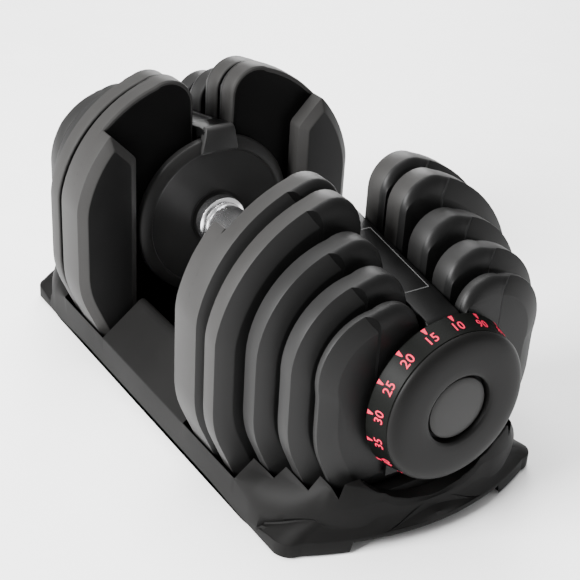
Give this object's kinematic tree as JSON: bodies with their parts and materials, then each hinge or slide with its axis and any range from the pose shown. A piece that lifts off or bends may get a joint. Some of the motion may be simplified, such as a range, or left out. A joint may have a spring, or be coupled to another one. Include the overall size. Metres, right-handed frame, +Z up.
{
  "type": "adjustable dumbbell",
  "caption": "Adjustable dumbbell in a storage tray: a chromed grip with a number dial at each end, stacked bevelled weight plates picked up by selector discs, and a moulded base.",
  "frame": {"origin": "on the floor under the middle of the grip, at the underside of the tray's feet", "axes": "+X along the handle, +Y across it, +Z up; the end that faces the viewer in the source view is +X"},
  "size_m": [0.444, 0.236, 0.213],
  "materials": {
    "plate_cover_dark": "moulded black nylon cover, fine satin grain, lighter worn bevels",
    "plate_cover_light": "moulded warm grey nylon cover with black faces",
    "core_iron": "plain pressed steel slab, unfinished",
    "tray_plastic": "satin moulded dark grey plastic with a fine grain",
    "feet_rubber": "soft black rubber pads",
    "grip_chrome": "bright chrome with shallow knurl grooves",
    "steel": "turned and zinc plated steel",
    "disc_plastic": "semi-gloss black plastic",
    "bridge_plastic": "semi-gloss black plastic",
    "dial_rim_plastic": "satin black plastic with printed red numbers",
    "dial_face_plastic": "satin dark grey plastic",
    "cap_plastic": "semi-gloss black plastic"
  },
  "bodies": {
    "tray": {"tray_base": "tray_plastic", "rubber_feet": "feet_rubber", "release_posts": "steel", "post_screws": "steel"},
    "handle": {"grip_sleeve": "grip_chrome", "centre_shaft": "steel", "shaft_nuts": "steel", "housing_screws": "steel", "lock_springs": "steel", "inner_disc_left": "disc_plastic", "disc_back_left": "disc_plastic", "bridge_left": "bridge_plastic", "end_housing_left": "bridge_plastic", "inner_disc_right": "disc_plastic", "disc_back_right": "disc_plastic", "bridge_right": "bridge_plastic", "end_housing_right": "bridge_plastic"},
    "dial_left": {"dial_ring_left": "dial_rim_plastic", "dial_face_left": "dial_face_plastic", "dial_cap_left": "cap_plastic", "drive_tube_left": "steel", "index_ring_left": "steel", "selector_1_left": "steel", "selector_2_left": "steel", "selector_3_left": "steel", "selector_4_left": "steel", "selector_5_left": "steel"},
    "lock_left": {"lock_slider_left": "steel"},
    "plate_1_left": {"plate_1_left": "plate_cover_light", "plate_core_1_left": "core_iron"},
    "plate_2_left": {"plate_2_left": "plate_cover_light", "plate_core_2_left": "core_iron"},
    "plate_3_left": {"plate_3_left": "plate_cover_dark", "plate_core_3_left": "core_iron"},
    "plate_4_left": {"plate_4_left": "plate_cover_dark", "plate_core_4_left": "core_iron"},
    "plate_5_left": {"plate_5_left": "plate_cover_dark", "plate_core_5_left": "core_iron"},
    "dial_right": {"dial_ring_right": "dial_rim_plastic", "dial_face_right": "dial_face_plastic", "dial_cap_right": "cap_plastic", "drive_tube_right": "steel", "index_ring_right": "steel", "selector_1_right": "steel", "selector_2_right": "steel", "selector_3_right": "steel", "selector_4_right": "steel", "selector_5_right": "steel"},
    "lock_right": {"lock_slider_right": "steel"},
    "plate_1_right": {"plate_1_right": "plate_cover_light", "plate_core_1_right": "core_iron"},
    "plate_2_right": {"plate_2_right": "plate_cover_light", "plate_core_2_right": "core_iron"},
    "plate_3_right": {"plate_3_right": "plate_cover_dark", "plate_core_3_right": "core_iron"},
    "plate_4_right": {"plate_4_right": "plate_cover_dark", "plate_core_4_right": "core_iron"},
    "plate_5_right": {"plate_5_right": "plate_cover_dark", "plate_core_5_right": "core_iron"}
  },
  "joints": [
    {"name": "handle_lift", "type": "slide", "parent": "tray", "child": "handle", "axis": [0, 0, 1], "range_m": [0, 0.2]},
    {"name": "dial_turn_left", "type": "hinge", "parent": "handle", "child": "dial_left", "pos_m": [-0.21, 0, 0.1], "axis": [-1, 0, 0], "continuous": true},
    {"name": "lock_drop_left", "type": "slide", "parent": "handle", "child": "lock_left", "axis": [0, 0, 1], "range_m": [-0.004, 0], "deforming": ["lock_springs"]},
    {"name": "plate_1_left_lift", "type": "slide", "parent": "tray", "child": "plate_1_left", "axis": [0, 0, 1], "range_m": [0, 0.2]},
    {"name": "plate_2_left_lift", "type": "slide", "parent": "tray", "child": "plate_2_left", "axis": [0, 0, 1], "range_m": [0, 0.2]},
    {"name": "plate_3_left_lift", "type": "slide", "parent": "tray", "child": "plate_3_left", "axis": [0, 0, 1], "range_m": [0, 0.2]},
    {"name": "plate_4_left_lift", "type": "slide", "parent": "tray", "child": "plate_4_left", "axis": [0, 0, 1], "range_m": [0, 0.2]},
    {"name": "plate_5_left_lift", "type": "slide", "parent": "tray", "child": "plate_5_left", "axis": [0, 0, 1], "range_m": [0, 0.2]},
    {"name": "dial_turn_right", "type": "hinge", "parent": "handle", "child": "dial_right", "pos_m": [0.21, 0, 0.1], "axis": [1, 0, 0], "continuous": true},
    {"name": "lock_drop_right", "type": "slide", "parent": "handle", "child": "lock_right", "axis": [0, 0, 1], "range_m": [-0.004, 0]},
    {"name": "plate_1_right_lift", "type": "slide", "parent": "tray", "child": "plate_1_right", "axis": [0, 0, 1], "range_m": [0, 0.2]},
    {"name": "plate_2_right_lift", "type": "slide", "parent": "tray", "child": "plate_2_right", "axis": [0, 0, 1], "range_m": [0, 0.2]},
    {"name": "plate_3_right_lift", "type": "slide", "parent": "tray", "child": "plate_3_right", "axis": [0, 0, 1], "range_m": [0, 0.2]},
    {"name": "plate_4_right_lift", "type": "slide", "parent": "tray", "child": "plate_4_right", "axis": [0, 0, 1], "range_m": [0, 0.2]},
    {"name": "plate_5_right_lift", "type": "slide", "parent": "tray", "child": "plate_5_right", "axis": [0, 0, 1], "range_m": [0, 0.2]}
  ],
  "couplings": [
    {"joint": "lock_drop_left", "follows": "handle_lift", "ratio": -0.018},
    {"joint": "plate_1_left_lift", "follows": "handle_lift", "ratio": 1},
    {"joint": "plate_2_left_lift", "follows": "handle_lift", "ratio": 1},
    {"joint": "plate_3_left_lift", "follows": "handle_lift", "ratio": 1},
    {"joint": "plate_4_left_lift", "follows": "handle_lift", "ratio": 1},
    {"joint": "plate_5_left_lift", "follows": "handle_lift", "ratio": 1},
    {"joint": "lock_drop_right", "follows": "handle_lift", "ratio": -0.018},
    {"joint": "plate_1_right_lift", "follows": "handle_lift", "ratio": 1},
    {"joint": "plate_2_right_lift", "follows": "handle_lift", "ratio": 1},
    {"joint": "plate_3_right_lift", "follows": "handle_lift", "ratio": 1},
    {"joint": "plate_4_right_lift", "follows": "handle_lift", "ratio": 1},
    {"joint": "plate_5_right_lift", "follows": "handle_lift", "ratio": 1}
  ]
}
